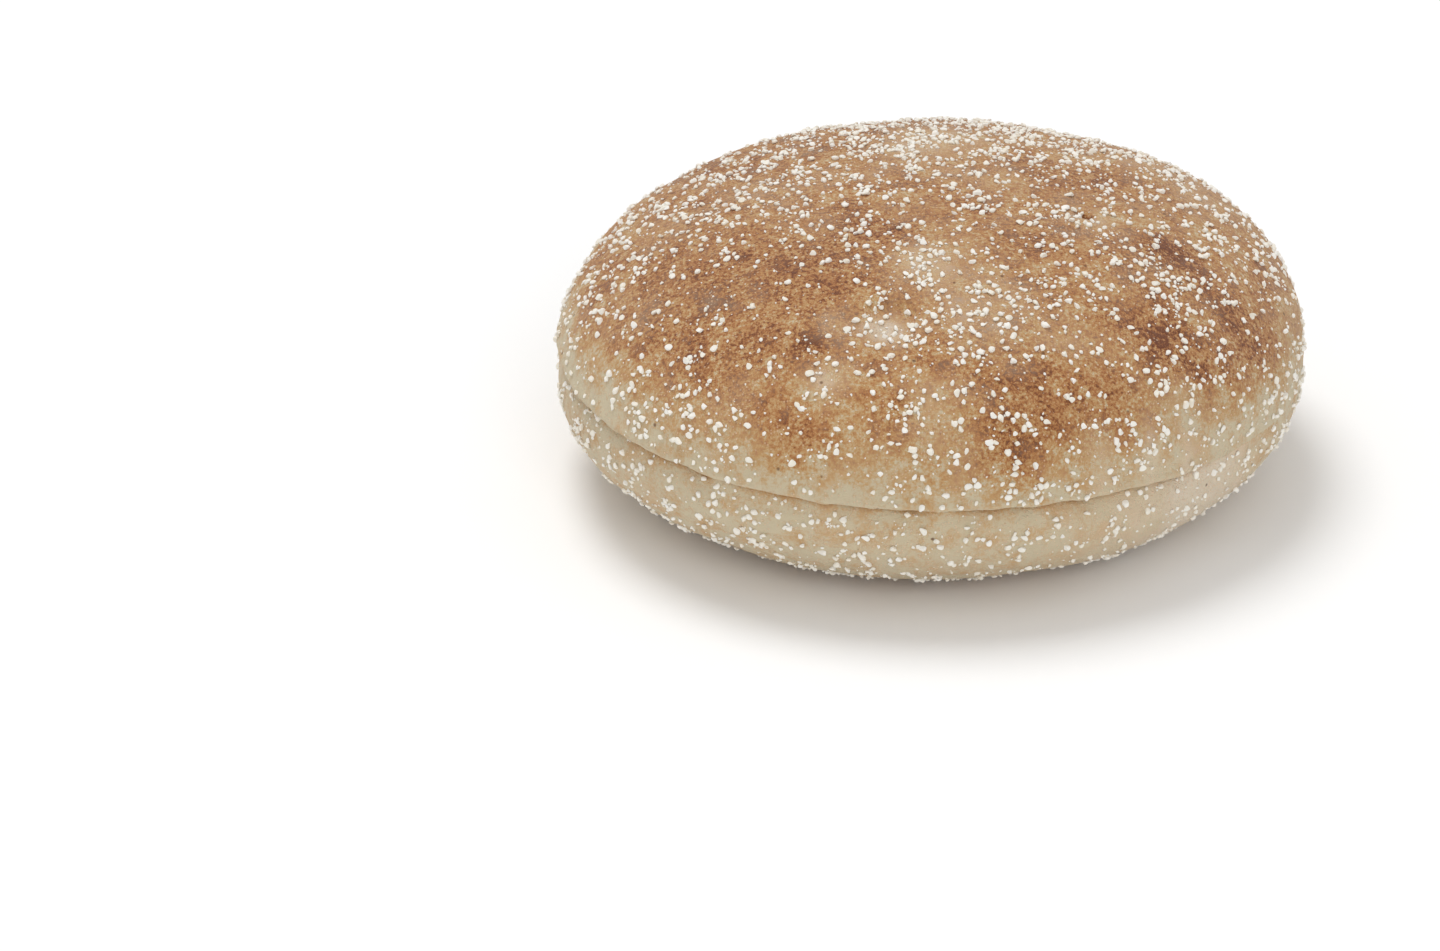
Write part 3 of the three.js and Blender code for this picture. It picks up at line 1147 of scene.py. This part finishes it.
def make_floor(scene):
    studio = scene.bun_studio
    half = studio.floor_size / 2
    mesh = bpy.data.meshes.new("floor")
    corners = [(-half, -half, 0), (half, -half, 0), (half, half, 0), (-half, half, 0)]
    mesh.from_pydata(corners, [], [(0, 1, 2, 3)])
    mesh.materials.append(studio_board(studio))
    floor = bpy.data.objects.new("floor", mesh)
    scene.collection.objects.link(floor)


def make_surroundings(scene):
    world = bpy.data.worlds.new("White surroundings")
    world.use_nodes = True
    white = world.node_tree.nodes["Background"]
    white.inputs["Color"].default_value = (1, 1, 1, 1)
    white.inputs["Strength"].default_value = scene.bun_studio.sky
    scene.world = world


def make_camera(scene):
    studio = scene.bun_studio
    camera_data = bpy.data.cameras.new("camera")
    camera_data.sensor_width, camera_data.lens = SENSOR_WIDTH, studio.lens
    camera = bpy.data.objects.new("camera", camera_data)
    down = studio.elevation
    back = Vector((0, -math.cos(down), math.sin(down)))
    camera.location = Vector(studio.aim) + back * studio.distance
    aim(camera, studio.aim)
    scene.collection.objects.link(camera)
    scene.camera = camera


def make_stage(scene):
    make_floor(scene)
    make_surroundings(scene)
    middle = (0, 0, HIGH[2] / 2 * MM)
    for name, (power, width, place) in SOFT_BOXES.items():
        make_soft_box(name, getattr(scene.bun_studio, power), width, place, middle)
    make_camera(scene)
    scene.view_settings.view_transform = "Standard"


# ---------------------------------------------------------------- add-on


class BUN_OT_bread(bpy.types.Operator):
    """Bake the loaf and cut it, crust and crumb"""

    bl_idname = "bun.add_bread"
    bl_label = "Add Bread"
    bl_options = {"REGISTER", "UNDO"}

    def execute(self, context):
        make_bread(context.scene)
        return {"FINISHED"}


class BUN_OT_grits(bpy.types.Operator):
    """Sprinkle coarse and fine cracked grain over the bread"""

    bl_idname = "bun.add_grits"
    bl_label = "Add Grits"
    bl_options = {"REGISTER", "UNDO"}

    def execute(self, context):
        if BREAD_NAME not in bpy.data.objects:
            raise RuntimeError("Add the bread first, because the grain lands on its crust.")
        make_grits(context.scene)
        return {"FINISHED"}


class BUN_OT_stage(bpy.types.Operator):
    """Set up the floor, the lights and the camera"""

    bl_idname = "bun.set_stage"
    bl_label = "Set Stage"
    bl_options = {"REGISTER", "UNDO"}

    def execute(self, context):
        make_stage(context.scene)
        return {"FINISHED"}


SETTINGS = {
    "bun_shape": BunShape,
    "bun_grits": BunGrits,
    "bun_finish": BunFinish,
    "bun_studio": BunStudio,
}
OPERATORS = (BUN_OT_bread, BUN_OT_grits, BUN_OT_stage)


class VIEW3D_PT_bun(bpy.types.Panel):
    """The bun's settings, with a button for each step"""

    bl_label = "Burger Bun"
    bl_space_type = "VIEW_3D"
    bl_region_type = "UI"
    bl_category = "Bun"

    def draw(self, context):
        for operator in OPERATORS:
            self.layout.operator(operator.bl_idname)
        for name in SETTINGS:
            group = getattr(context.scene, name)
            box = self.layout.box()
            for setting in group.bl_rna.properties:
                if setting.identifier not in ("name", "rna_type"):
                    box.prop(group, setting.identifier)


def register():
    for item in (*SETTINGS.values(), *OPERATORS, VIEW3D_PT_bun):
        bpy.utils.register_class(item)
    for name, group in SETTINGS.items():
        setattr(bpy.types.Scene, name, PointerProperty(type=group))


def unregister():
    for name in SETTINGS:
        delattr(bpy.types.Scene, name)
    for item in reversed((*SETTINGS.values(), *OPERATORS, VIEW3D_PT_bun)):
        bpy.utils.unregister_class(item)


def main():
    register()
    bpy.ops.bun.set_stage()
    bpy.ops.bun.add_bread()
    bpy.ops.bun.add_grits()


if __name__ == "__main__":
    main()
